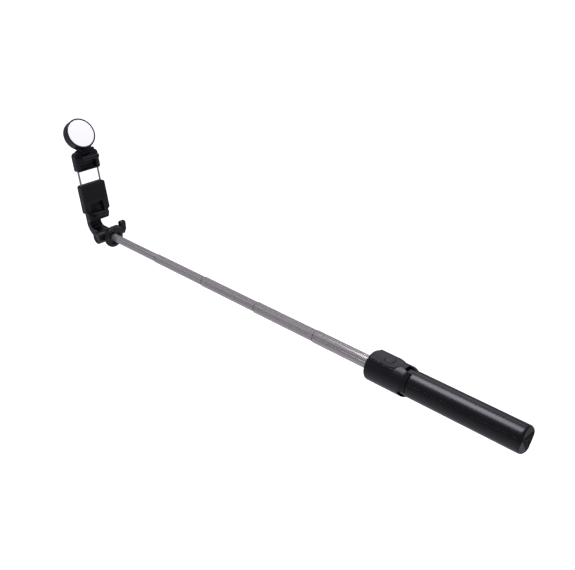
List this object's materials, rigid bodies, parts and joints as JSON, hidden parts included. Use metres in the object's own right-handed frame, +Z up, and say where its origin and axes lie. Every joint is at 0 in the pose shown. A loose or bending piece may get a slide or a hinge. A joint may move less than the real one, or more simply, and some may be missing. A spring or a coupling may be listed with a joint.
{
  "type": "selfie stick",
  "caption": "Telescopic selfie stick whose grip opens into a tripod, with a slide-out remote, a tilting sprung clamp and a round fill lamp on top.",
  "frame": {"origin": "on the stick's axis, halfway along the grip", "axes": "+Y along the stick from the grip to the clamp, +Z up through the remote, +X to the right"},
  "size_m": [0.047, 0.6664, 0.1609],
  "materials": {
    "satin_black": "fine-textured satin black moulding",
    "gloss_black": "smooth half-gloss black moulding",
    "black_rubber": "matt black rubber",
    "silver_tube": "drawn and anodised, faintly warm silver",
    "steel": "bright zinc-plated steel",
    "nylon": "dark grey nylon",
    "circuit_board": "green solder mask",
    "white_diffuser": "translucent white, softly shining",
    "led_yellow": "yellow phosphor",
    "battery_wrap": "pale foil pouch"
  },
  "bodies": {
    "handle": {"handle_head": "satin_black", "guide_tube": "silver_tube", "guide_plug": "nylon", "leg_pins": "steel"},
    "leg_top": {"leg_top": "gloss_black", "foot_top": "black_rubber"},
    "leg_left": {"leg_left": "gloss_black", "foot_left": "black_rubber"},
    "leg_right": {"leg_right": "gloss_black", "foot_right": "black_rubber"},
    "remote": {"remote_tray": "satin_black", "remote_cover": "satin_black", "remote_board": "circuit_board", "remote_cell": "steel", "remote_switch": "steel"},
    "shutter": {"shutter_button": "satin_black"},
    "section_5": {"tube_5": "silver_tube", "bush_5": "nylon"},
    "section_4": {"tube_4": "silver_tube", "bush_4": "nylon"},
    "section_3": {"tube_3": "silver_tube", "bush_3": "nylon"},
    "section_2": {"tube_2": "silver_tube", "bush_2": "nylon"},
    "section_1": {"tube_1": "silver_tube", "bush_1": "nylon", "tip_post": "steel"},
    "swivel": {"swivel_collar": "satin_black", "tilt_base": "satin_black", "swivel_screws": "steel"},
    "arm": {"tilt_arm": "satin_black", "tilt_bolt": "steel", "bolt_cap": "satin_black", "tilt_washer": "nylon", "pivot_screw": "steel", "pivot_nut": "steel", "pivot_washer": "black_rubber"},
    "wing": {"wing_knob": "satin_black"},
    "holder": {"holder_body": "satin_black", "holder_back": "satin_black", "back_screws": "steel", "lower_pin": "steel", "clamp_springs": "steel"},
    "lower_claw": {"lower_claw": "satin_black", "lower_pad": "black_rubber"},
    "jaw": {"upper_jaw": "satin_black", "guide_rods": "steel", "upper_pin": "steel", "lamp_pin": "steel"},
    "upper_claw": {"upper_claw": "satin_black", "upper_pad": "black_rubber"},
    "lamp": {"lamp_housing": "satin_black", "lamp_bezel": "gloss_black", "lamp_diffuser": "white_diffuser", "lamp_board": "circuit_board", "lamp_leds": "led_yellow", "lamp_battery": "battery_wrap"},
    "lamp_button": {"lamp_switch": "nylon"}
  },
  "joints": [
    {"name": "leg_top_swing", "type": "hinge", "parent": "handle", "child": "leg_top", "pos_m": [0, 0.06525, 0.0112], "axis": [-1, 0, 0], "range_deg": [0, 42]},
    {"name": "leg_left_swing", "type": "hinge", "parent": "handle", "child": "leg_left", "pos_m": [-0.0097, 0.06525, -0.0056], "axis": [0.5, 0, -0.866], "range_deg": [0, 42]},
    {"name": "leg_right_swing", "type": "hinge", "parent": "handle", "child": "leg_right", "pos_m": [0.0097, 0.06525, -0.0056], "axis": [0.5, 0, 0.866], "range_deg": [0, 42]},
    {"name": "remote_slide", "type": "slide", "parent": "handle", "child": "remote", "axis": [0, 1, 0], "range_m": [0, 0.038]},
    {"name": "shutter_press", "type": "slide", "parent": "remote", "child": "shutter", "axis": [0, 0, -1], "range_m": [0, 0.00025], "stiffness_N_per_m": 600},
    {"name": "section_5_slide", "type": "slide", "parent": "handle", "child": "section_5", "axis": [0, 1, 0], "range_m": [-0.074, 0]},
    {"name": "section_4_slide", "type": "slide", "parent": "section_5", "child": "section_4", "axis": [0, 1, 0], "range_m": [-0.0865, 0]},
    {"name": "section_3_slide", "type": "slide", "parent": "section_4", "child": "section_3", "axis": [0, 1, 0], "range_m": [-0.0865, 0]},
    {"name": "section_2_slide", "type": "slide", "parent": "section_3", "child": "section_2", "axis": [0, 1, 0], "range_m": [-0.0865, 0]},
    {"name": "section_1_slide", "type": "slide", "parent": "section_2", "child": "section_1", "axis": [0, 1, 0], "range_m": [-0.0865, 0]},
    {"name": "head_swivel", "type": "hinge", "parent": "section_1", "child": "swivel", "pos_m": [0, 0.53625, 0], "axis": [0, 1, 0], "range_deg": [-180, 180]},
    {"name": "arm_tilt", "type": "hinge", "parent": "swivel", "child": "arm", "pos_m": [0, 0.54885, 0], "axis": [1, 0, 0], "range_deg": [-80, 20]},
    {"name": "wing_turn", "type": "hinge", "parent": "arm", "child": "wing", "pos_m": [0.02, 0.54885, 0], "axis": [1, 0, 0], "range_deg": [-90, 90]},
    {"name": "holder_turn", "type": "hinge", "parent": "arm", "child": "holder", "pos_m": [0, 0.57593, 0.04689], "axis": [0, 0.9848, -0.1736], "range_deg": [-90, 90]},
    {"name": "lower_claw_fold", "type": "hinge", "parent": "holder", "child": "lower_claw", "pos_m": [0, 0.56656, 0.02427], "axis": [1, 0, 0], "range_deg": [-90, 0]},
    {"name": "jaw_slide", "type": "slide", "parent": "holder", "child": "jaw", "axis": [0, 0.1736, 0.9848], "range_m": [-0.014, 0.011], "deforming": ["clamp_springs"]},
    {"name": "upper_claw_fold", "type": "hinge", "parent": "jaw", "child": "upper_claw", "pos_m": [0, 0.57995, 0.1002], "axis": [-1, 0, 0], "range_deg": [-90, 0]},
    {"name": "lamp_tilt", "type": "hinge", "parent": "jaw", "child": "lamp", "pos_m": [0, 0.58178, 0.10658], "axis": [1, 0, 0], "range_deg": [-16, 24]},
    {"name": "lamp_press", "type": "slide", "parent": "lamp", "child": "lamp_button", "axis": [0, -0.848, 0.5299], "range_m": [0, 0.0005], "stiffness_N_per_m": 600}
  ]
}
